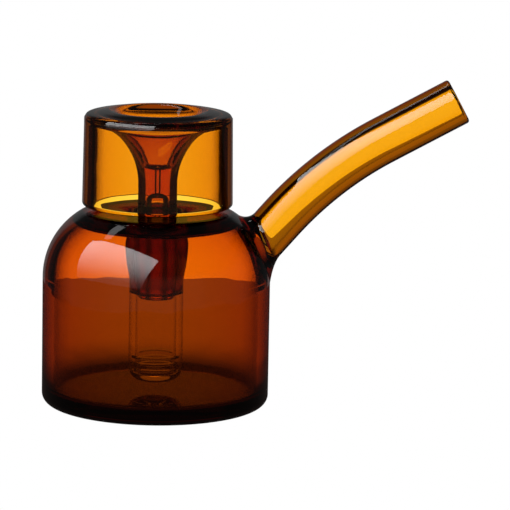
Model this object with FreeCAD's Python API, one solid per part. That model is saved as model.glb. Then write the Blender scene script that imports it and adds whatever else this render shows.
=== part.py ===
import FreeCAD, Part
import math
import os

# Amber glass bubbler with a lift-off bowl cap, a bent mouthpiece and a clear downstem.
# Millimetres.  Origin: centre of the base underside.  +Z up, +X towards the mouthpiece.
# Everything but the mouthpiece is turned about the Z axis.

# --- chamber -----------------------------------------------------------------
CHAMBER_R = 35.0          # outside radius of the straight wall
CHAMBER_WALL = 3.5        # wall thickness, kept round the shoulder
BASE_T = 4.4              # thickness of the foot disc
HEEL_R = 3.2              # rounding of the foot's outer edge
FLOOR_FILLET = 2.0        # glass run up the wall from the floor
SHOULDER_Z = 39.4         # straight wall turns into the shoulder
SHOULDER_R = 23.5         # radius of the shoulder's arc, outside
DECK_TOP = 60.0           # flat deck the cap hangs over
DECK_T = 4.8              # deck thickness
DECK_SPLIT_R = 19.0       # deck disc is sealed into the shoulder here
NECK_R = 9.0              # joint socket is sealed into the deck here

# --- tapered joint, 14.5 mm at the large end, 1 in 10, 23 mm long --------------
JOINT_LARGE_R = 7.25
JOINT_SMALL_R = 6.10
JOINT_TOP = 58.2
JOINT_BOTTOM = 35.2
JOINT_PLAY = 0.05         # radial room between plug and socket
SOCKET_BULGE_R = 9.65
SOCKET_BULGE_Z = 49.5
SOCKET_END_R = 8.4
SOCKET_END_Z = 35.2
SOCKET_MOUTH_R = 8.3      # rounded entry at the deck

# --- clear downstem ----------------------------------------------------------
DOWNSTEM_R = 8.4
DOWNSTEM_BORE_R = 6.3
DIFFUSER_TOP = 17.6
DIFFUSER_BOTTOM = 7.4
DIFFUSER_END_R = 4.2      # rounding of the closed lower end
DIFFUSER_FLOOR = 10.0     # top of the closed end inside the bore
SLIT_HEIGHTS = (15.4, 13.4, 11.4)
SLIT_T = 0.8
SLIT_DEPTH = 4.2          # measured in from the outside of the tube

# --- cap: skirt, rim, bowl ---------------------------------------------------
CAP_GAP = 1.8             # skirt hangs clear of the deck, the joint carries the cap
CAP_R_BOTTOM = 23.1
CAP_R_TOP = 22.7
CAP_WALL = 3.5
CAP_EDGE_R = 1.1          # rounding of the skirt's lower edge
CAP_SPLIT_Z = 83.0        # skirt meets the rim ring
RIM_EDGE_Z = 88.9         # outer face starts to turn over
RIM_EDGE_IN = 3.7         # how far in the turn reaches
RIM_FLAT_Z = 90.6
RIM_CROWN_R = 14.8
RIM_CROWN_Z = 91.2        # overall height
CAVITY_PEAK_R = 18.2      # highest point of the ring-shaped space round the bowl
STEM_R = 6.0
TRUMPET_Z = 68.6          # stem starts to flare into the bowl
TRUMPET_A = 22.0          # half axes of the flare's quarter ellipse
TRUMPET_B = 21.4
BOWL_FLOOR_Z = 73.8
PINCH_R = 0.6             # fine hole under the bowl
STEM_BORE_R = 2.3
STEM_BORE_TOP = 66.0
FUNNEL_SPLIT_Z = 71.0
STEM_SPLIT_Z = 60.6
PLUG_TIP_Z = 33.2
PLUG_TIP_R = 6.0

# --- mouthpiece: round tube in the XZ plane ------------------------------------
MOUTH_R = 7.3
MOUTH_BORE_R = 4.6
MOUTH_END = (91.75, 95.5)  # X and Z of the centre of the open end
MOUTH_END_ANGLE = 28.75   # rise of the tube there, degrees
# from the open end inwards: length along the axis, and how much the tube steepens
MOUTH_RUNS = ((26.0, 0.0), (40.0, 20.4), (20.0, 0.0))
SEAM_POINT = (32.5, 52.2) # X and Z of a point of the weld plane across the tube
SEAM_TILT = 20.4          # rise of the weld plane's normal, degrees
WELD_FILLET = 4.0         # glass drawn up round the root of the tube

UP = FreeCAD.Vector(0, 0, 1)
ZERO = FreeCAD.Vector(0, 0, 0)


def at(r, z):
    """Point of the half section."""
    return FreeCAD.Vector(r, 0, z)


def line(a, b):
    return Part.makeLine(at(*a), at(*b))


def arc(a, through, b):
    return Part.Arc(at(*a), at(*through), at(*b)).toShape()


def spline(*points):
    curve = Part.BSplineCurve()
    curve.interpolate([at(*p) for p in points])
    return curve.toShape()


def on_circle(centre, radius, degrees):
    a = math.radians(degrees)
    return (centre[0] + radius * math.cos(a), centre[1] + radius * math.sin(a))


def turned(*edges):
    """Solid of revolution from a closed half section."""
    face = Part.Face(Part.Wire(Part.__sortEdges__(list(edges))))
    solid = face.revolve(ZERO, UP, 360)
    if solid.Volume < 0:
        solid.reverse()
    return solid


def ring(r_in, r_out, z0, z1):
    outer = Part.makeCylinder(r_out, z1 - z0, at(0, z0), UP)
    if r_in <= 0:
        return outer
    return outer.cut(Part.makeCylinder(r_in, z1 - z0, at(0, z0), UP))


def arc_about(centre, radius, start, end):
    """Arc of a known circle between two of its points."""
    a0 = math.atan2(start[1] - centre[1], start[0] - centre[0])
    a1 = math.atan2(end[1] - centre[1], end[0] - centre[0])
    middle = on_circle(centre, radius, math.degrees((a0 + a1) / 2))
    return arc(start, middle, end)


# --- chamber pieces ------------------------------------------------------------
SHOULDER_C = (CHAMBER_R - SHOULDER_R, SHOULDER_Z)
CEILING = DECK_TOP - DECK_T
INNER_R = CHAMBER_R - CHAMBER_WALL
INNER_ARC = SHOULDER_R - CHAMBER_WALL


def shoulder_r(arc_radius, z):
    """Radius of the shoulder's section at a height."""
    rise = z - SHOULDER_Z
    return SHOULDER_C[0] + math.sqrt(arc_radius ** 2 - rise ** 2)


def chamber_wall():
    foot_c = (INNER_R - FLOOR_FILLET, BASE_T + FLOOR_FILLET)
    foot_a = (INNER_R, BASE_T + FLOOR_FILLET)
    foot_b = (INNER_R - FLOOR_FILLET, BASE_T)
    return turned(
        line((CHAMBER_R, BASE_T), (CHAMBER_R, SHOULDER_Z)),
        line((CHAMBER_R, SHOULDER_Z), (INNER_R, SHOULDER_Z)),
        line((INNER_R, SHOULDER_Z), foot_a),
        arc(foot_a, on_circle(foot_c, FLOOR_FILLET, -45), foot_b),
        line(foot_b, (CHAMBER_R, BASE_T)))


def chamber_shoulder():
    top_out = (shoulder_r(SHOULDER_R, DECK_TOP), DECK_TOP)
    top_in = (shoulder_r(INNER_ARC, CEILING), CEILING)
    return turned(
        arc_about(SHOULDER_C, SHOULDER_R, (CHAMBER_R, SHOULDER_Z), top_out),
        line(top_out, (DECK_SPLIT_R, DECK_TOP)),
        line((DECK_SPLIT_R, DECK_TOP), (DECK_SPLIT_R, CEILING)),
        line((DECK_SPLIT_R, CEILING), top_in),
        arc_about(SHOULDER_C, INNER_ARC, top_in, (INNER_R, SHOULDER_Z)),
        line((INNER_R, SHOULDER_Z), (CHAMBER_R, SHOULDER_Z)))


def chamber_base():
    heel_c = (CHAMBER_R - HEEL_R, HEEL_R)
    return turned(
        line((0, 0), (CHAMBER_R - HEEL_R, 0)),
        arc((CHAMBER_R - HEEL_R, 0), on_circle(heel_c, HEEL_R, -45), (CHAMBER_R, HEEL_R)),
        line((CHAMBER_R, HEEL_R), (CHAMBER_R, BASE_T)),
        line((CHAMBER_R, BASE_T), (0, BASE_T)),
        line((0, BASE_T), (0, 0)))


def joint_socket():
    """Female half of the joint: tapered bore inside a thick, slightly swollen tube."""
    bore_top = (JOINT_LARGE_R + JOINT_PLAY, JOINT_TOP)
    bore_end = (JOINT_SMALL_R + JOINT_PLAY, SOCKET_END_Z)
    throat = (bore_top[0], DECK_TOP - 1.2)
    mouth = (SOCKET_MOUTH_R, DECK_TOP)
    waist = (SOCKET_END_R, SOCKET_END_Z + 4.0)
    return turned(
        line(mouth, (NECK_R, DECK_TOP)),
        line((NECK_R, DECK_TOP), (NECK_R, CEILING)),
        spline((NECK_R, CEILING), (SOCKET_BULGE_R, SOCKET_BULGE_Z), (9.2, 44.0), waist),
        line(waist, (SOCKET_END_R, SOCKET_END_Z)),
        line((SOCKET_END_R, SOCKET_END_Z), bore_end),
        line(bore_end, bore_top),
        line(bore_top, throat),
        arc(throat, (throat[0] + 0.3, DECK_TOP - 0.4), mouth))


def downstem_tube():
    return ring(DOWNSTEM_BORE_R, DOWNSTEM_R, DIFFUSER_TOP, SOCKET_END_Z)


def diffuser_tip():
    """Closed, rounded end of the downstem with saw slits on its two sides."""
    end_c = (DOWNSTEM_R - DIFFUSER_END_R, DIFFUSER_BOTTOM + DIFFUSER_END_R)
    side = (DOWNSTEM_R, end_c[1])
    under = (end_c[0], DIFFUSER_BOTTOM)
    bore_c = (DOWNSTEM_BORE_R - 2.0, DIFFUSER_FLOOR + 2.0)
    body = turned(
        line((DOWNSTEM_R, DIFFUSER_TOP), side),
        arc(side, on_circle(end_c, DIFFUSER_END_R, -45), under),
        line(under, (0, DIFFUSER_BOTTOM)),
        line((0, DIFFUSER_BOTTOM), (0, DIFFUSER_FLOOR)),
        line((0, DIFFUSER_FLOOR), (bore_c[0], DIFFUSER_FLOOR)),
        arc((bore_c[0], DIFFUSER_FLOOR), on_circle(bore_c, 2.0, -45), (DOWNSTEM_BORE_R, bore_c[1])),
        line((DOWNSTEM_BORE_R, bore_c[1]), (DOWNSTEM_BORE_R, DIFFUSER_TOP)),
        line((DOWNSTEM_BORE_R, DIFFUSER_TOP), (DOWNSTEM_R, DIFFUSER_TOP)))
    for height in SLIT_HEIGHTS:
        for side_y in (-1, 1):
            near = side_y * (DOWNSTEM_R - SLIT_DEPTH)
            y0 = min(near, near + side_y * 10)
            corner = FreeCAD.Vector(-12, y0, height - SLIT_T / 2)
            body = body.cut(Part.makeBox(24, 10, SLIT_T, corner))
    return body


# --- cap pieces -------------------------------------------------------------------
CAP_BOTTOM = DECK_TOP + CAP_GAP


def cap_outer_r(z):
    share = (z - CAP_BOTTOM) / (RIM_EDGE_Z - CAP_BOTTOM)
    return CAP_R_BOTTOM + share * (CAP_R_TOP - CAP_R_BOTTOM)


def cap_skirt():
    r_out = cap_outer_r(CAP_SPLIT_Z)
    lower = CAP_BOTTOM + CAP_EDGE_R
    out_c = (cap_outer_r(lower) - CAP_EDGE_R, lower)
    in_c = (CAP_R_BOTTOM - CAP_WALL + CAP_EDGE_R, lower)
    out_a = (cap_outer_r(lower), lower)
    out_b = (out_c[0], CAP_BOTTOM)
    in_a = (CAP_R_BOTTOM - CAP_WALL, lower)
    in_b = (in_c[0], CAP_BOTTOM)
    return turned(
        line((r_out, CAP_SPLIT_Z), out_a),
        arc(out_a, on_circle(out_c, CAP_EDGE_R, -45), out_b),
        line(out_b, in_b),
        arc(in_b, on_circle(in_c, CAP_EDGE_R, -135), in_a),
        line(in_a, (r_out - CAP_WALL, CAP_SPLIT_Z)),
        line((r_out - CAP_WALL, CAP_SPLIT_Z), (r_out, CAP_SPLIT_Z)))


def trumpet_z(r):
    """Height of the flare under the bowl at a radius."""
    reach = (STEM_R + TRUMPET_A - r) / TRUMPET_A
    return TRUMPET_Z + TRUMPET_B * math.sqrt(1 - reach ** 2)


def trumpet_r(z):
    rise = (z - TRUMPET_Z) / TRUMPET_B
    return STEM_R + TRUMPET_A * (1 - math.sqrt(1 - rise ** 2))


def crown_curve(r):
    """Height of the soft top face between its outer turn and its crown."""
    share = (r - RIM_CROWN_R) / (CAP_R_TOP - RIM_EDGE_IN - RIM_CROWN_R)
    return RIM_CROWN_Z - (RIM_CROWN_Z - RIM_FLAT_Z) * share ** 2


def cap_rim():
    """Turned-over top of the cap, from the skirt in to the bowl's flare."""
    r_out = cap_outer_r(CAP_SPLIT_Z)
    r_in = r_out - CAP_WALL
    edge = (CAP_R_TOP, RIM_EDGE_Z)
    flat = (CAP_R_TOP - RIM_EDGE_IN, RIM_FLAT_Z)
    turn = (CAP_R_TOP - RIM_EDGE_IN * 0.26, RIM_EDGE_Z + (RIM_FLAT_Z - RIM_EDGE_Z) * 0.70)
    top_in = (CAVITY_PEAK_R, crown_curve(CAVITY_PEAK_R))
    middle = (flat[0] + CAVITY_PEAK_R) / 2
    between = (middle, crown_curve(middle))
    peak = (CAVITY_PEAK_R, trumpet_z(CAVITY_PEAK_R))
    fillet = r_in - CAVITY_PEAK_R
    shoulder = (r_in, peak[1] - fillet)
    fillet_c = (CAVITY_PEAK_R, peak[1] - fillet)
    return turned(
        line((r_out, CAP_SPLIT_Z), edge),
        spline(edge, turn, flat),
        arc(flat, between, top_in),
        line(top_in, peak),
        arc(peak, on_circle(fillet_c, fillet, 45), shoulder),
        line(shoulder, (r_in, CAP_SPLIT_Z)),
        line((r_in, CAP_SPLIT_Z), (r_out, CAP_SPLIT_Z)))


def bowl_funnel():
    """Thick flared bowl: soft lip, cone, small rounded cup and a pinch hole."""
    top_out = (CAVITY_PEAK_R, crown_curve(CAVITY_PEAK_R))
    peak = (CAVITY_PEAK_R, trumpet_z(CAVITY_PEAK_R))
    foot = (trumpet_r(FUNNEL_SPLIT_Z), FUNNEL_SPLIT_Z)
    flare = [(r, trumpet_z(r)) for r in (16.4, 14.2, 12.0, 9.6, 7.6)]
    crown = (RIM_CROWN_R, RIM_CROWN_Z)
    cup = (3.5, 75.6)
    return turned(
        arc(top_out, (16.5, crown_curve(16.5)), crown),
        spline(crown, (13.1, 90.7), (11.7, 89.3), (9.4, 86.5), (7.2, 83.7), (5.4, 80.6), (4.2, 77.6), cup),
        arc(cup, (2.9, 74.5), (PINCH_R + 0.9, BOWL_FLOOR_Z + 0.2)),
        line((PINCH_R + 0.9, BOWL_FLOOR_Z + 0.2), (PINCH_R, BOWL_FLOOR_Z)),
        line((PINCH_R, BOWL_FLOOR_Z), (PINCH_R, FUNNEL_SPLIT_Z)),
        line((PINCH_R, FUNNEL_SPLIT_Z), foot),
        spline(foot, *reversed([peak] + flare)),
        line(peak, top_out))


def bowl_stem():
    """Straight stem: pinch hole above, domed start of the wider bore below."""
    top_r = trumpet_r(FUNNEL_SPLIT_Z)
    dome_c = (0, STEM_BORE_TOP - STEM_BORE_R)
    lean = math.sqrt(STEM_BORE_R ** 2 - PINCH_R ** 2)
    dome_top = (PINCH_R, dome_c[1] + lean)
    dome_side = (STEM_BORE_R, dome_c[1])
    return turned(
        line((PINCH_R, FUNNEL_SPLIT_Z), (top_r, FUNNEL_SPLIT_Z)),
        arc((top_r, FUNNEL_SPLIT_Z), (trumpet_r(69.5), 69.5), (STEM_R, TRUMPET_Z)),
        line((STEM_R, TRUMPET_Z), (STEM_R, STEM_SPLIT_Z)),
        line((STEM_R, STEM_SPLIT_Z), (STEM_BORE_R, STEM_SPLIT_Z)),
        line((STEM_BORE_R, STEM_SPLIT_Z), dome_side),
        arc_about(dome_c, STEM_BORE_R, dome_side, dome_top),
        line(dome_top, (PINCH_R, FUNNEL_SPLIT_Z)))


def joint_plug():
    """Male half of the joint with a fire-polished tip."""
    large = (JOINT_LARGE_R, JOINT_TOP)
    small = (JOINT_SMALL_R, JOINT_BOTTOM)
    tip_in = (STEM_BORE_R + 0.9, PLUG_TIP_Z)
    tip_out = (PLUG_TIP_R - 1.2, PLUG_TIP_Z)
    tip_side = (PLUG_TIP_R, PLUG_TIP_Z + 1.2)
    return turned(
        line((STEM_BORE_R, STEM_SPLIT_Z), (STEM_R, STEM_SPLIT_Z)),
        arc((STEM_R, STEM_SPLIT_Z), (6.95, JOINT_TOP + 1.0), large),
        line(large, small),
        line(small, tip_side),
        arc(tip_side, on_circle((tip_out[0], tip_side[1]), 1.2, -45), tip_out),
        line(tip_out, tip_in),
        arc(tip_in, (STEM_BORE_R + 0.26, PLUG_TIP_Z + 0.26), (STEM_BORE_R, PLUG_TIP_Z + 0.9)),
        line((STEM_BORE_R, PLUG_TIP_Z + 0.9), (STEM_BORE_R, STEM_SPLIT_Z)))


# --- mouthpiece ----------------------------------------------------------------------


def mouth_path():
    """Axis of the mouthpiece from the open end down into the chamber wall."""
    x, z = MOUTH_END
    angle = MOUTH_END_ANGLE
    edges = []
    for length, turn in MOUTH_RUNS:
        if turn == 0:
            x1 = x - length * math.cos(math.radians(angle))
            z1 = z - length * math.sin(math.radians(angle))
            edges.append(line((x, z), (x1, z1)))
        else:
            radius = length / math.radians(turn)
            # the centre of each bend lies under the tube
            c = (x + radius * math.sin(math.radians(angle)), z - radius * math.cos(math.radians(angle)))
            mid = angle + turn / 2
            end = angle + turn
            xm = c[0] - radius * math.sin(math.radians(mid))
            zm = c[1] + radius * math.cos(math.radians(mid))
            x1 = c[0] - radius * math.sin(math.radians(end))
            z1 = c[1] + radius * math.cos(math.radians(end))
            edges.append(arc((x, z), (xm, zm), (x1, z1)))
        x, z = x1, z1
        angle = angle + turn
    return Part.Wire(edges)


def swept(radius):
    path = mouth_path()
    heading = FreeCAD.Vector(-math.cos(math.radians(MOUTH_END_ANGLE)), 0,
                             -math.sin(math.radians(MOUTH_END_ANGLE)))
    start = Part.Wire(Part.makeCircle(radius, at(*MOUTH_END), heading))
    return path.makePipeShell([start], True, False)


def seam_block():
    """Large box on the chamber's side of the weld plane."""
    box = Part.makeBox(80, 80, 80, FreeCAD.Vector(-80, -40, -40))
    box.rotate(ZERO, FreeCAD.Vector(0, 1, 0), -SEAM_TILT)
    box.translate(at(*SEAM_POINT))
    return box


def end_block():
    """Large box on the open end's side of the plane where the tube starts to bend."""
    length = MOUTH_RUNS[0][0]
    lean = math.radians(MOUTH_END_ANGLE)
    box = Part.makeBox(80, 80, 80, FreeCAD.Vector(0, -40, -40))
    box.rotate(ZERO, FreeCAD.Vector(0, 1, 0), -MOUTH_END_ANGLE)
    box.translate(at(MOUTH_END[0] - length * math.cos(lean), MOUTH_END[1] - length * math.sin(lean)))
    return box


def mouthpiece_tube():
    """Straight outer length of the tube."""
    return swept(MOUTH_R).cut(swept(MOUTH_BORE_R)).common(end_block())


def mouthpiece_bend():
    tube = swept(MOUTH_R).cut(swept(MOUTH_BORE_R))
    return tube.cut(seam_block()).cut(end_block())


def chamber_envelope():
    """Everything inside the chamber's outer surface."""
    top = (shoulder_r(SHOULDER_R, DECK_TOP), DECK_TOP)
    return turned(
        line((0, 0), (CHAMBER_R, 0)),
        line((CHAMBER_R, 0), (CHAMBER_R, SHOULDER_Z)),
        arc_about(SHOULDER_C, SHOULDER_R, (CHAMBER_R, SHOULDER_Z), top),
        line(top, (0, DECK_TOP)),
        line((0, DECK_TOP), (0, 0)))


def mouthpiece_collar():
    """Glass between the shoulder and the weld plane, filleted onto the shoulder."""
    chamber = chamber_envelope()
    joined = chamber.fuse(swept(MOUTH_R))
    root = [e for e in joined.Edges if e.Curve.TypeId == "Part::GeomBSplineCurve"]
    joined = joined.makeFillet(WELD_FILLET, root)
    return joined.common(seam_block()).cut(chamber).cut(swept(MOUTH_BORE_R))


def largest(shape):
    solids = sorted(shape.Solids, key=lambda s: s.Volume)
    return solids[-1]


def build():
    bore = swept(MOUTH_BORE_R)
    pieces = {
        "chamber_wall": chamber_wall().cut(bore),
        "chamber_shoulder": chamber_shoulder().cut(bore),
        "chamber_base": chamber_base(),
        "neck_deck": ring(NECK_R, DECK_SPLIT_R, CEILING, DECK_TOP),
        "joint_socket": joint_socket(),
        "downstem_tube": downstem_tube(),
        "diffuser_tip": diffuser_tip(),
        "mouthpiece_collar": mouthpiece_collar(),
        "mouthpiece_bend": mouthpiece_bend(),
        "mouthpiece_tube": mouthpiece_tube(),
        "cap_skirt": cap_skirt(),
        "cap_rim": cap_rim(),
        "bowl_funnel": bowl_funnel(),
        "bowl_stem": bowl_stem(),
        "joint_plug": joint_plug(),
    }
    os.makedirs("parts", exist_ok=True)
    for name, shape in pieces.items():
        solid = largest(shape)
        solid.exportStep("parts/" + name + ".step")
        box = solid.BoundBox
        print("%-18s valid %s solids %d volume %9.1f  x %.1f..%.1f z %.1f..%.1f" % (
            name, solid.isValid(), len(shape.Solids), solid.Volume,
            box.XMin, box.XMax, box.ZMin, box.ZMax))


build()
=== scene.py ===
import math

import bmesh
import bpy
from mathutils import Matrix, Vector


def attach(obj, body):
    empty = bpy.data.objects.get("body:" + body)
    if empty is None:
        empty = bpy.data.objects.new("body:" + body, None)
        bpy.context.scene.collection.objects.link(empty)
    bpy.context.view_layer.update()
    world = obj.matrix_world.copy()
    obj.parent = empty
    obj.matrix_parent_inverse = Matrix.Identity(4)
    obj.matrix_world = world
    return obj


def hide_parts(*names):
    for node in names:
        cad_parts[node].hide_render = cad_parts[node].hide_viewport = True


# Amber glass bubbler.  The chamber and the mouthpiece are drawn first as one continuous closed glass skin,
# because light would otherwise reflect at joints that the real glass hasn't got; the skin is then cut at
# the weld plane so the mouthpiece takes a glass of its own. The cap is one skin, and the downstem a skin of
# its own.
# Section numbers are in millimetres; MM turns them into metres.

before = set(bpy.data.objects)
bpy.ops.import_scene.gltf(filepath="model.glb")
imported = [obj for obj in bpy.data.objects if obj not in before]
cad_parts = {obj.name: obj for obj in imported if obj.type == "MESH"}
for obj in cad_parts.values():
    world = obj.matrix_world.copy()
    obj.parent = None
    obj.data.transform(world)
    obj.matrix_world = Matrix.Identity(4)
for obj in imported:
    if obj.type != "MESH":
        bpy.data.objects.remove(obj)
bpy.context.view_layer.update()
MM = 0.001

# --- section numbers, the same as in the part ---------------------------------------------
CHAMBER_R, CHAMBER_WALL, BASE_T, HEEL_R, FLOOR_FILLET = 35.0, 3.5, 4.4, 3.2, 2.0
SHOULDER_Z, SHOULDER_R = 39.4, 23.5
DECK_TOP, CEILING = 60.0, 55.2
CAP_BOTTOM = 61.8
MOUTH_R, MOUTH_BORE_R = 7.3, 4.6
MOUTH_END, MOUTH_ANGLE = (91.75, 95.5), 28.75
MOUTH_RUNS = ((26.0, 0.0), (40.0, 20.4))
SEAM_POINT, SEAM_TILT = (32.5, 52.2), 20.4
FILLET = 4.0
ARC_C = (CHAMBER_R - SHOULDER_R, SHOULDER_Z)


# --- mesh helpers ------------------------------------------------------------------------------
def arc(c, r, a0, a1, n):
    return [(c[0] + r * math.cos(math.radians(a0 + (a1 - a0) * i / n)),
             c[1] + r * math.sin(math.radians(a0 + (a1 - a0) * i / n))) for i in range(n + 1)]


def run(a, b, n):
    """Points after a, up to and with b."""
    return [(a[0] + (b[0] - a[0]) * i / n, a[1] + (b[1] - a[1]) * i / n) for i in range(1, n + 1)]


def spline(pts, n=8):
    """Catmull-Rom curve through points."""
    p = [(2 * pts[0][0] - pts[1][0], 2 * pts[0][1] - pts[1][1])] + list(pts)
    p.append((2 * pts[-1][0] - pts[-2][0], 2 * pts[-1][1] - pts[-2][1]))
    out = []
    for i in range(1, len(p) - 2):
        a, b, c, d = p[i - 1:i + 3]
        for k in range(n):
            t = k / n
            out.append(tuple(0.5 * (2 * b[j] + (c[j] - a[j]) * t
                                    + (2 * a[j] - 5 * b[j] + 4 * c[j] - d[j]) * t * t
                                    + (3 * b[j] - a[j] - 3 * c[j] + d[j]) * t ** 3) for j in (0, 1)))
    out.append(tuple(pts[-1]))
    return out


def finish_mesh(name, verts, faces, sharp=35):
    mesh = bpy.data.meshes.new(name)
    mesh.from_pydata([tuple(c * MM for c in v) for v in verts], [], faces)
    bm = bmesh.new()
    bm.from_mesh(mesh)
    bmesh.ops.remove_doubles(bm, verts=bm.verts, dist=1e-7)
    bmesh.ops.recalc_face_normals(bm, faces=bm.faces)
    bm.to_mesh(mesh)
    bm.free()
    shade(mesh, sharp)
    obj = bpy.data.objects.new(name, mesh)
    bpy.context.scene.collection.objects.link(obj)
    return obj


def shade(mesh, sharp=35):
    for p in mesh.polygons:
        p.use_smooth = True
    mesh.set_sharp_from_angle(angle=math.radians(sharp))


def lathe(name, section, segments=256, closed=False, sharp=35):
    """Closed skin turned about Z from a half section, from axis to axis or round a loop."""
    verts, faces, rows = [], [], []
    for r, z in section:
        if r < 1e-6:
            rows.append([len(verts)] * segments)
            verts.append((0, 0, z))
        else:
            rows.append(list(range(len(verts), len(verts) + segments)))
            for j in range(segments):
                a = 2 * math.pi * j / segments
                verts.append((r * math.cos(a), r * math.sin(a), z))
    count = len(section) if closed else len(section) - 1
    for i in range(count):
        a, b = rows[i], rows[(i + 1) % len(section)]
        for j in range(segments):
            k = (j + 1) % segments
            ring = []
            for v in (a[j], a[k], b[k], b[j]):
                if v not in ring:
                    ring.append(v)
            if len(ring) > 2:
                faces.append(ring)
    return finish_mesh(name, verts, faces, sharp)


def boolean(target, tool, operation):
    """Exact boolean, then the tool is thrown away."""
    mod = target.modifiers.new("cut", "BOOLEAN")
    mod.operation = operation
    mod.solver = "EXACT"
    mod.object = tool
    bpy.context.view_layer.update()
    deps = bpy.context.evaluated_depsgraph_get()
    mesh = bpy.data.meshes.new_from_object(target.evaluated_get(deps))
    target.modifiers.clear()
    target.data = mesh
    bpy.data.objects.remove(tool)


# --- chamber ------------------------------------------------------------------------------------
def chamber_section():
    inner_r = CHAMBER_R - CHAMBER_WALL
    inner_arc = SHOULDER_R - CHAMBER_WALL
    top = math.degrees(math.asin((DECK_TOP - SHOULDER_Z) / SHOULDER_R))
    under = math.degrees(math.asin((CEILING - SHOULDER_Z) / inner_arc))
    s = [(0, 0)] + run((0, 0), (CHAMBER_R - HEEL_R, 0), 10)
    s += arc((CHAMBER_R - HEEL_R, HEEL_R), HEEL_R, -90, 0, 14)[1:]
    s += run(s[-1], (CHAMBER_R, SHOULDER_Z), 14)
    s += arc(ARC_C, SHOULDER_R, 0, top - 3, 48)[1:]
    edge = ARC_C[0] + SHOULDER_R * math.cos(math.radians(top))
    s += spline([s[-1], (edge + 0.1, DECK_TOP - 0.16), (edge - 1.2, DECK_TOP)], 6)[1:]
    s += run(s[-1], (9.6, DECK_TOP), 8)
    s += arc((9.0, DECK_TOP - 1.5), 1.5, 80, 180, 8)
    s += run(s[-1], (7.3, 58.2), 2)
    s += run(s[-1], (6.15, 35.2), 16)
    s += [(6.4, 35.0), (8.1, 35.0), (8.4, 35.3)]
    s += spline([(8.4, 35.3), (8.4, 39.2), (9.2, 44.0), (9.65, 49.5), (9.3, CEILING - 1.6),
                 (11.4, CEILING)], 8)[1:]
    s += run(s[-1], (ARC_C[0] + inner_arc * math.cos(math.radians(under)) - 1, CEILING), 6)
    s += arc(ARC_C, inner_arc, under - 1, 0, 44)
    s += run(s[-1], (inner_r, BASE_T + FLOOR_FILLET), 14)
    s += arc((inner_r - FLOOR_FILLET, BASE_T + FLOOR_FILLET), FLOOR_FILLET, 0, -90, 8)[1:]
    s += run(s[-1], (0, BASE_T), 10)
    return s


def height_over_chamber(p):
    """Signed distance from the chamber's outer surface, near the shoulder."""
    r = math.hypot(p.x, p.y)
    if p.z < SHOULDER_Z:
        return r - CHAMBER_R
    return math.hypot(r - ARC_C[0], p.z - ARC_C[1]) - SHOULDER_R


def mouth_stations(step, past_end=0.0, past_root=26.0):
    """Axis points and headings from the open end down into the chamber."""
    angle = math.radians(MOUTH_ANGLE)
    x = MOUTH_END[0] + past_end * math.cos(angle)
    z = MOUTH_END[1] + past_end * math.sin(angle)
    out = [(x, z, angle)]
    runs = [(MOUTH_RUNS[0][0] + past_end, 0.0), MOUTH_RUNS[1], (past_root, 0.0)]
    for length, turn in runs:
        n = max(2, round(length / step))
        turn = math.radians(turn)
        for i in range(n):
            mid = angle + turn * (i + 0.5) / n
            x -= length / n * math.cos(mid)
            z -= length / n * math.sin(mid)
            out.append((x, z, angle + turn * (i + 1) / n))
        angle += turn
    return out


def tube_ring(station, radius, j, count):
    x, z, angle = station
    a = 2 * math.pi * j / count
    out = Vector((-math.sin(angle) * math.cos(a), math.sin(a), math.cos(angle) * math.cos(a)))
    return Vector((x, 0, z)) + out * (radius(a) if callable(radius) else radius), out


def skin(name, rings, count):
    verts = [v for ring in rings for v in ring]
    first = sum(rings[0], Vector()) / count
    last = sum(rings[-1], Vector()) / count
    faces = []
    for i in range(len(rings) - 1):
        for j in range(count):
            k = (j + 1) % count
            faces.append([i * count + j, i * count + k, (i + 1) * count + k, (i + 1) * count + j])
    tail = (len(rings) - 1) * count
    verts += [first, last]
    for j in range(count):
        k = (j + 1) % count
        faces.append([len(verts) - 2, k, j])
        faces.append([len(verts) - 1, tail + j, tail + k])
    return finish_mesh(name, verts, faces)


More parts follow.
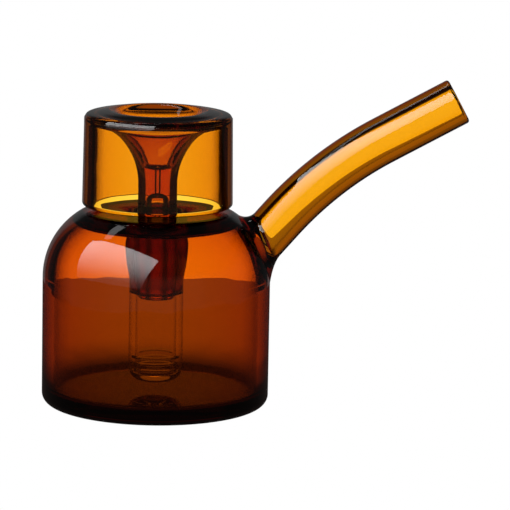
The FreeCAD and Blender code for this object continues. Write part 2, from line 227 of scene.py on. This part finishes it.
def flared_tube(count=144):
    """Outside of the mouthpiece, drawn out into a fillet where it meets the shoulder."""
    columns = []
    stations = mouth_stations(1.0)
    edge = 0.9
    levels = [FILLET * k / 14 for k in range(14, 0, -1)] + [0.12, -0.35, -0.9]
    for j in range(count):
        column = []
        for station in stations:
            p0, out = tube_ring(station, MOUTH_R, j, count)
            if height_over_chamber(p0) < FILLET + 1.0:
                break
            column.append(p0)
            last = station
        # fine steps along the root, down to just inside the chamber's wall
        found = []
        p0, out = tube_ring(last, MOUTH_R, j, count)
        head = Vector((-math.cos(last[2]), 0, -math.sin(last[2])))
        for level in levels:
            h = max(0.0, level)
            reach = FILLET - math.sqrt(max(0.0, FILLET ** 2 - (FILLET - h) ** 2))
            start = p0 + out * reach
            lo, hi = -6.0, 40.0
            for _ in range(40):
                mid = (lo + hi) / 2
                if height_over_chamber(start + head * mid) > level:
                    lo = mid
                else:
                    hi = mid
            found.append(start + head * lo)
        columns.append((column, found))
    # the same number of coarse rings for every column: spread them by length
    coarse = 84
    rings = [[] for _ in range(coarse)]
    fine = [[] for _ in range(len(columns[0][1]))]
    for column, found in columns:
        pts = column + [found[0]]
        lens = [0.0]
        for a, b in zip(pts, pts[1:]):
            lens.append(lens[-1] + (b - a).length)
        for k in range(coarse):
            want = lens[-1] * k / coarse
            i = max(i for i in range(len(lens)) if lens[i] <= want + 1e-9)
            i = min(i, len(pts) - 2)
            t = (want - lens[i]) / max(1e-9, lens[i + 1] - lens[i])
            rings[k].append(pts[i].lerp(pts[i + 1], t))
        for k, p in enumerate(found):
            fine[k].append(p)
    # fire-polished lip
    lip = []
    st = stations[0]
    for drop in (0.0, 0.1, 0.3, 0.6):
        inset = edge - math.sqrt(max(0, edge ** 2 - (edge - drop) ** 2))
        back = (st[0] - drop * math.cos(st[2]), st[1] - drop * math.sin(st[2]), st[2])
        lip.append([tube_ring(back, MOUTH_R - inset, j, count)[0] for j in range(count)])
    return skin("mouth_outside", lip + rings[1:] + fine, count)


def bore_tool(count=96):
    """What is cut out of the mouthpiece and the wall behind it."""
    rings = []
    for i, st in enumerate(mouth_stations(1.0, past_end=3.0, past_root=24.0)):
        r = MOUTH_BORE_R
        if i < 5:
            r += max(0.0, 0.7 - max(0.0, (i - 3) * 0.7))
        rings.append([tube_ring(st, r, j, count)[0] for j in range(count)])
    return skin("mouth_bore", rings, count)


def seam_block(offset, reach):
    """Box on one side of the weld plane across the root of the mouthpiece."""
    lean = math.radians(SEAM_TILT)
    across = Vector((math.cos(lean), 0, math.sin(lean)))
    along = Vector((-math.sin(lean), 0, math.cos(lean)))
    origin = Vector((SEAM_POINT[0], 0, SEAM_POINT[1])) + across * offset
    verts = [origin + across * a + along * b + Vector((0, c, 0))
             for a in (0, reach) for b in (-90, 90) for c in (-60, 60)]
    quads = [(0, 1, 3, 2), (4, 5, 7, 6), (0, 1, 5, 4), (2, 3, 7, 6), (0, 2, 6, 4), (1, 3, 7, 5)]
    return finish_mesh("seam", verts, quads)


# --- downstem -----------------------------------------------------------------------------------
def downstem_section():
    s = [(6.5, 34.95), (8.2, 34.95), (8.4, 34.75)]
    s += run(s[-1], (8.4, 11.6), 16)
    s += arc((4.2, 11.6), 4.2, 0, -90, 12)[1:]
    s += [(0, 7.4)]
    s += [(0, 10.0), (4.3, 10.0)]
    s += arc((4.3, 12.0), 2.0, -90, 0, 8)[1:]
    s += run(s[-1], (6.3, 34.75), 16)
    return s


# --- cap ------------------------------------------------------------------------------------------
def cap_section():
    r0, r1, edge, wall = 23.1, 22.7, 1.1, 3.5
    s = arc((r0 - edge, CAP_BOTTOM + edge), edge, -90, 0, 8)
    s += run(s[-1], (r1, 88.9), 18)
    s += spline([(r1, 88.9), (r1 - 0.96, 90.09), (19.0, 90.6), (16.9, 91.0), (14.8, 91.2), (13.1, 90.7),
                 (11.7, 89.3), (9.4, 86.5), (7.2, 83.7), (5.4, 80.6), (4.2, 77.6), (3.5, 75.6), (2.9, 74.5),
                 (1.5, 74.0), (0.6, 73.8)], 8)[1:]
    s += run(s[-1], (0.6, 65.92), 5)
    s += arc((0, 63.7), 2.3, 74, 0, 8)[1:]
    s += run(s[-1], (2.3, 34.1), 12)
    s += [(2.56, 33.46), (3.2, 33.2)]
    s += arc((4.8, 34.4), 1.2, -90, 0, 6)
    s += run((6.0, 34.4), (6.1, 35.2), 1)
    s += run(s[-1], (7.25, 58.2), 16)
    s += [(6.95, 59.2), (6.25, 60.2), (6.0, 61.0)]
    s += run(s[-1], (6.0, 68.6), 5)
    for i in range(1, 27):
        z = 68.6 + 18.9 * i / 26
        s.append((6 + 22 * (1 - math.sqrt(1 - ((z - 68.6) / 21.4) ** 2)), z))
    peak = 68.6 + 21.4 * math.sqrt(1 - ((28 - 18.2) / 22) ** 2)
    inner = r1 + (r0 - r1) * 0.15 - wall
    turn = inner - 18.2
    s += arc((18.2, peak - turn), turn, 90, 0, 10)
    s += run(s[-1], (r0 - wall, CAP_BOTTOM + edge), 18)
    s += arc((r0 - wall + edge, CAP_BOTTOM + edge), edge, 180, 270, 8)[1:]
    return s


# --- glass ------------------------------------------------------------------------------------------
def glass(name, per_mm, ground=None):
    """Clear-cut glass: colour from the thickness of glass, faint hand-made ripple and film, and painted
    shade where the surface is seen edge on.

    per_mm is what is absorbed per millimetre in red, green and blue.
    ground is (inner, outer radius, low, high z) in mm of a ground surface.
    """
    mat = bpy.data.materials.new(name)
    mat.use_nodes = True
    nt = mat.node_tree
    nt.nodes.clear()
    new, link = nt.nodes.new, nt.links.new
    out = new("ShaderNodeOutputMaterial")
    bsdf = new("ShaderNodeBsdfPrincipled")
    bsdf.inputs["IOR"].default_value = 1.5
    bsdf.inputs["Transmission Weight"].default_value = 1.0
    coord = new("ShaderNodeTexCoord")
    stretch = new("ShaderNodeMapping")
    stretch.inputs["Scale"].default_value = (1.0, 1.0, 2.2)
    link(coord.outputs["Object"], stretch.inputs["Vector"])
    ripple = new("ShaderNodeTexNoise")
    ripple.inputs["Scale"].default_value = 55.0
    ripple.inputs["Detail"].default_value = 1.0
    link(stretch.outputs["Vector"], ripple.inputs["Vector"])
    bump = new("ShaderNodeBump")
    bump.inputs["Strength"].default_value = 0.35
    bump.inputs["Distance"].default_value = 0.00022
    link(ripple.outputs["Fac"], bump.inputs["Height"])
    link(bump.outputs["Normal"], bsdf.inputs["Normal"])
    film = new("ShaderNodeTexNoise")
    film.inputs["Scale"].default_value = 140.0
    film.inputs["Detail"].default_value = 3.0
    link(coord.outputs["Object"], film.inputs["Vector"])
    rough = new("ShaderNodeMapRange")
    rough.inputs["From Min"].default_value = 0.45
    rough.inputs["From Max"].default_value = 0.8
    rough.inputs["To Min"].default_value = 0.0
    rough.inputs["To Max"].default_value = 0.012
    link(film.outputs["Fac"], rough.inputs["Value"])
    tint = new("ShaderNodeMix")
    tint.data_type = "RGBA"
    tint.inputs["A"].default_value = (0.985, 0.985, 0.985, 1)
    tint.inputs["B"].default_value = (0.955, 0.95, 0.94, 1)
    link(film.outputs["Fac"], tint.inputs["Factor"])
    # painted shade: the base colour is darkened where the surface is seen edge on
    facing = new("ShaderNodeLayerWeight")
    facing.inputs["Blend"].default_value = 0.5
    edge_shade_ramp = new("ShaderNodeMapRange")
    edge_shade_ramp.inputs["From Min"].default_value = 0.46
    edge_shade_ramp.inputs["From Max"].default_value = 0.74
    link(facing.outputs["Facing"], edge_shade_ramp.inputs["Value"])
    # painted shade colour, mixed into the base colour where the surface is seen edge on
    edge = new("ShaderNodeMix")
    edge.data_type = "RGBA"
    edge.inputs["B"].default_value = (0.20, 0.15, 0.15, 1)
    link(edge_shade_ramp.outputs["Result"], edge.inputs["Factor"])
    link(tint.outputs["Result"], edge.inputs["A"])
    link(edge.outputs["Result"], bsdf.inputs["Base Color"])
    if ground:
        sep = new("ShaderNodeSeparateXYZ")
        link(coord.outputs["Object"], sep.inputs["Vector"])
        flat = new("ShaderNodeVectorMath")
        flat.operation = "MULTIPLY"
        flat.inputs[1].default_value = (1, 1, 0)
        link(coord.outputs["Object"], flat.inputs[0])
        dist = new("ShaderNodeVectorMath")
        dist.operation = "LENGTH"
        link(flat.outputs["Vector"], dist.inputs[0])
        parts = []
        for source, low, high in ((dist.outputs["Value"], ground[0], ground[1]),
                                  (sep.outputs["Z"], ground[2], ground[3])):
            for limit, sense in ((low, "GREATER_THAN"), (high, "LESS_THAN")):
                test = new("ShaderNodeMath")
                test.operation = sense
                test.inputs[1].default_value = limit * MM
                link(source, test.inputs[0])
                parts.append(test)
        mask = parts[0]
        for test in parts[1:]:
            both = new("ShaderNodeMath")
            both.operation = "MULTIPLY"
            link(mask.outputs["Value"], both.inputs[0])
            link(test.outputs["Value"], both.inputs[1])
            mask = both
        grain = new("ShaderNodeMath")
        grain.operation = "MULTIPLY_ADD"
        grain.inputs[1].default_value = 0.32
        link(mask.outputs["Value"], grain.inputs[0])
        link(rough.outputs["Result"], grain.inputs[2])
        link(grain.outputs["Value"], bsdf.inputs["Roughness"])
        frost = new("ShaderNodeMix")
        frost.data_type = "RGBA"
        frost.blend_type = "MULTIPLY"
        frost.inputs["B"].default_value = (0.80, 0.72, 0.76, 1)
        link(mask.outputs["Value"], frost.inputs["Factor"])
        link(edge.outputs["Result"], frost.inputs["A"])
        link(frost.outputs["Result"], bsdf.inputs["Base Color"])
    else:
        link(rough.outputs["Result"], bsdf.inputs["Roughness"])
    link(bsdf.outputs["BSDF"], out.inputs["Surface"])
    soak = new("ShaderNodeVolumeAbsorption")
    most = max(per_mm)
    soak.inputs["Density"].default_value = most * 1000 / 0.999
    soak.inputs["Color"].default_value = tuple(1 - 0.999 * s / most for s in per_mm) + (1,)
    link(soak.outputs["Volume"], out.inputs["Volume"])
    return mat


chamber_glass = glass("amber_chamber", (0.075, 0.33, 1.3), (6.05, 7.4, 35.1, 58.3))
mouth_glass = glass("amber_mouthpiece", (0.06, 0.22, 1.05))
cap_glass = glass("amber_cap", (0.055, 0.205, 0.9), (6.05, 7.3, 35.1, 58.3))
clear_glass = glass("clear_stem", (0.004, 0.003, 0.004))

chamber = lathe("glass_chamber", chamber_section())
boolean(chamber, flared_tube(), "UNION")
boolean(chamber, bore_tool(), "DIFFERENCE")
mouth = chamber.copy()
mouth.data = chamber.data.copy()
mouth.name = "glass_mouthpiece"
bpy.context.scene.collection.objects.link(mouth)
boolean(chamber, seam_block(0.0, -90), "INTERSECT")
boolean(mouth, seam_block(0.03, 90), "INTERSECT")
for piece, finish in ((chamber, chamber_glass), (mouth, mouth_glass)):
    shade(piece.data, 32)
    piece.data.materials.clear()
    piece.data.materials.append(finish)

cap = lathe("glass_cap", cap_section(), closed=True)
cap.data.materials.append(cap_glass)

stem = lathe("glass_downstem", downstem_section(), 128, closed=True)
for height in (15.4, 13.4, 11.4):
    for side in (-1, 1):
        near = side * (8.4 - 4.2)
        far = side * 12
        lo, hi = min(near, far), max(near, far)
        box = [(x, y, z) for z in (height - 0.4, height + 0.4) for y in (lo, hi) for x in (-12, 12)]
        quads = [(0, 1, 3, 2), (4, 5, 7, 6), (0, 1, 5, 4), (2, 3, 7, 6), (0, 2, 6, 4), (1, 3, 7, 5)]
        boolean(stem, finish_mesh("slit", box, quads), "DIFFERENCE")
shade(stem.data, 32)
stem.data.materials.clear()
stem.data.materials.append(clear_glass)

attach(chamber, "chamber")
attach(mouth, "chamber")
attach(stem, "chamber")
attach(cap, "cap")
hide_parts("chamber_wall", "chamber_shoulder", "chamber_base", "neck_deck", "joint_socket",
            "mouthpiece_collar")
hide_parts("mouthpiece_bend", "mouthpiece_tube")
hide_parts("cap_skirt", "cap_rim", "bowl_funnel", "bowl_stem", "joint_plug")
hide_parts("downstem_tube", "diffuser_tip")

# --- table -----------------------------------------------------------------------------------------
SCREEN = 1.6          # brightness of the lit screen behind the table
TABLE = 0.5           # brightness of the table as the glass sees it
bpy.ops.mesh.primitive_circle_add(vertices=128, radius=0.207, fill_type="NGON", location=(0, 0, -0.0002))
table = bpy.context.object
table.name = "table"
mat = bpy.data.materials.new("pale_table")
mat.use_nodes = True
nt = mat.node_tree
nt.nodes.clear()
out = nt.nodes.new("ShaderNodeOutputMaterial")
glow = nt.nodes.new("ShaderNodeEmission")
path = nt.nodes.new("ShaderNodeLightPath")
pick = nt.nodes.new("ShaderNodeMix")
pick.inputs["A"].default_value = 0.03
place = nt.nodes.new("ShaderNodeTexCoord")
away = nt.nodes.new("ShaderNodeVectorMath")
away.operation = "LENGTH"
nt.links.new(place.outputs["Object"], away.inputs[0])
# painted shadow: the table is a glow, not a lit surface; as the glass sees it, the glow falls from TABLE to
# 0.02 towards the axis, a dark disc round the object, while the camera sees it plain white and reflections
# see it at 0.03
shadow = nt.nodes.new("ShaderNodeMapRange")
shadow.interpolation_type = "SMOOTHSTEP"
for key, v in (("From Min", 0.045), ("From Max", 0.105), ("To Min", 0.02), ("To Max", TABLE)):
    shadow.inputs[key].default_value = v
nt.links.new(away.outputs["Value"], shadow.inputs["Value"])
nt.links.new(shadow.outputs["Result"], pick.inputs["B"])
nt.links.new(path.outputs["Is Transmission Ray"], pick.inputs["Factor"])
bright = nt.nodes.new("ShaderNodeMix")
bright.inputs["B"].default_value = 1.0
nt.links.new(pick.outputs["Result"], bright.inputs["A"])
nt.links.new(path.outputs["Is Camera Ray"], bright.inputs["Factor"])
nt.links.new(bright.outputs["Result"], glow.inputs["Strength"])
# the glow the glass sees is tinted warm; the camera sees it white
warm = nt.nodes.new("ShaderNodeMix")
warm.data_type = "RGBA"
warm.inputs["A"].default_value = (1, 0.78, 0.72, 1)
warm.inputs["B"].default_value = (1, 1, 1, 1)
nt.links.new(path.outputs["Is Camera Ray"], warm.inputs["Factor"])
nt.links.new(warm.outputs["Result"], glow.inputs["Color"])
nt.links.new(glow.outputs["Emission"], out.inputs["Surface"])
table.data.materials.append(mat)

# --- studio: lit screen behind, dark room, soft boxes in front ---------------------------------------
world = bpy.data.worlds.new("studio")
bpy.context.scene.world = world
world.use_nodes = True
nt = world.node_tree
nt.nodes.clear()
new, link = nt.nodes.new, nt.links.new
out = new("ShaderNodeOutputWorld")
sky = new("ShaderNodeBackground")
sky.inputs["Color"].default_value = (1, 1, 1, 1)
link(sky.outputs["Background"], out.inputs["Surface"])
coord = new("ShaderNodeTexCoord")
sep = new("ShaderNodeSeparateXYZ")
link(coord.outputs["Generated"], sep.inputs["Vector"])


def maths(op, a, b=None):
    node = new("ShaderNodeMath")
    node.operation = op
    for i, v in enumerate((a, b)):
        if v is None:
            continue
        if isinstance(v, (int, float)):
            node.inputs[i].default_value = v
        else:
            link(v, node.inputs[i])
    return node.outputs["Value"]


def ramp(value, a, b, va, vb):
    node = new("ShaderNodeMapRange")
    node.interpolation_type = "SMOOTHSTEP"
    for key, v in (("From Min", a), ("From Max", b), ("To Min", va), ("To Max", vb)):
        node.inputs[key].default_value = v
    link(value, node.inputs["Value"])
    return node.outputs["Result"]


turn = maths("ABSOLUTE", maths("ARCTAN2", sep.outputs["X"], sep.outputs["Y"]))
rise = maths("ARCSINE", sep.outputs["Z"])
deg = math.radians
lobe = ramp(turn, deg(23), deg(29), 1.0, 0.02)
sides = ramp(turn, deg(66), deg(86), 0.0, 0.30)
low = ramp(rise, deg(15), deg(25), 1.0, 0.02)
rear = ramp(turn, deg(110), deg(140), 0.0, 0.55)
around = maths("MAXIMUM", maths("MAXIMUM", lobe, sides), rear)
through = maths("MULTIPLY", maths("MULTIPLY", around, low), SCREEN)
path = new("ShaderNodeLightPath")
bounced = maths("MULTIPLY", maths("MINIMUM", path.outputs["Glossy Depth"], 1.0), 0.8)
seen = maths("MULTIPLY", maths("MULTIPLY", through, maths("SUBTRACT", 1.0, bounced)),
             path.outputs["Is Transmission Ray"])
soft = maths("ADD", maths("MULTIPLY", through, 0.07), 0.03)
dim = maths("MULTIPLY", maths("SUBTRACT", 1.0, path.outputs["Is Transmission Ray"]), soft)
mixed = maths("ADD", seen, dim)
white = maths("MULTIPLY", maths("SUBTRACT", 1.0, mixed), path.outputs["Is Camera Ray"])
link(maths("ADD", mixed, white), sky.inputs["Strength"])


def softbox(name, place, aim, width, height, power, fade=0.0):
    """Rectangular soft light; fade is how dark its lower end is, from 0 to 1."""
    light = bpy.data.lights.new(name, "AREA")
    light.shape = "RECTANGLE"
    light.size, light.size_y = width, height
    light.energy = power
    light.use_nodes = True
    tree = light.node_tree
    lamp = tree.nodes["Emission"]
    across = tree.nodes.new("ShaderNodeNewGeometry")
    split = tree.nodes.new("ShaderNodeSeparateXYZ")
    tree.links.new(across.outputs["Parametric"], split.inputs["Vector"])
    level = tree.nodes.new("ShaderNodeMapRange")
    level.interpolation_type = "SMOOTHSTEP"
    level.inputs["From Min"].default_value = 0.05
    level.inputs["From Max"].default_value = 0.90
    level.inputs["To Min"].default_value = 1.0 - fade
    level.inputs["To Max"].default_value = 1.0
    tree.links.new(split.outputs["Y"], level.inputs["Value"])
    tree.links.new(level.outputs["Result"], lamp.inputs["Strength"])
    obj = bpy.data.objects.new(name, light)
    obj.location = place
    obj.rotation_euler = (Vector(aim) - Vector(place)).to_track_quat("-Z", "Y").to_euler()
    obj.visible_camera = False
    obj.visible_transmission = False
    bpy.context.scene.collection.objects.link(obj)


softbox("left_front", (-0.62, -0.50, 0.54), (0, 0, 0.05), 1.50, 0.95, 26.0, 0.95)
softbox("left_above", (-0.25, 0.27, 0.76), (0, 0, 0.05), 0.70, 0.10, 0.32)

# --- camera ----------------------------------------------------------------------------------------
camera = bpy.data.cameras.new("camera")
eye = bpy.data.objects.new("camera", camera)
bpy.context.scene.collection.objects.link(eye)
bpy.context.scene.camera = eye
PX = 3.25                      # picture points per millimetre at the axis
DIST = 3500 / PX * MM
tilt = math.radians(10.65)
target = Vector((0, 0, 150 / PX * MM))
eye.location = target + Vector((0, -math.cos(tilt), math.sin(tilt))) * DIST
forward = (target - eye.location).normalized()
side = forward.cross(Vector((0, 0, 1))).normalized()
over = side.cross(forward)
# turn a little so that the pipe stands left of the middle and the tube has room
aim = (forward * 3500 + side * (255 - 156.75) + over * 1.5).normalized()
lean = math.radians(0.77)
side = aim.cross(over).normalized()
over = side.cross(aim)
up = over * math.cos(lean) - side * math.sin(lean)
side = aim.cross(up)
pose = Matrix((side, up, -aim)).transposed().to_4x4()
pose.translation = eye.location
eye.matrix_world = pose
camera.sensor_width = 36
camera.lens = 18 / (255 / 3500)
camera.clip_start = 0.01
camera.clip_end = 50

scene = bpy.context.scene
scene.cycles.max_bounces = 32
scene.cycles.transmission_bounces = 32
scene.cycles.glossy_bounces = 10
scene.cycles.caustics_reflective = False
scene.cycles.caustics_refractive = False
scene.view_settings.view_transform = "Standard"
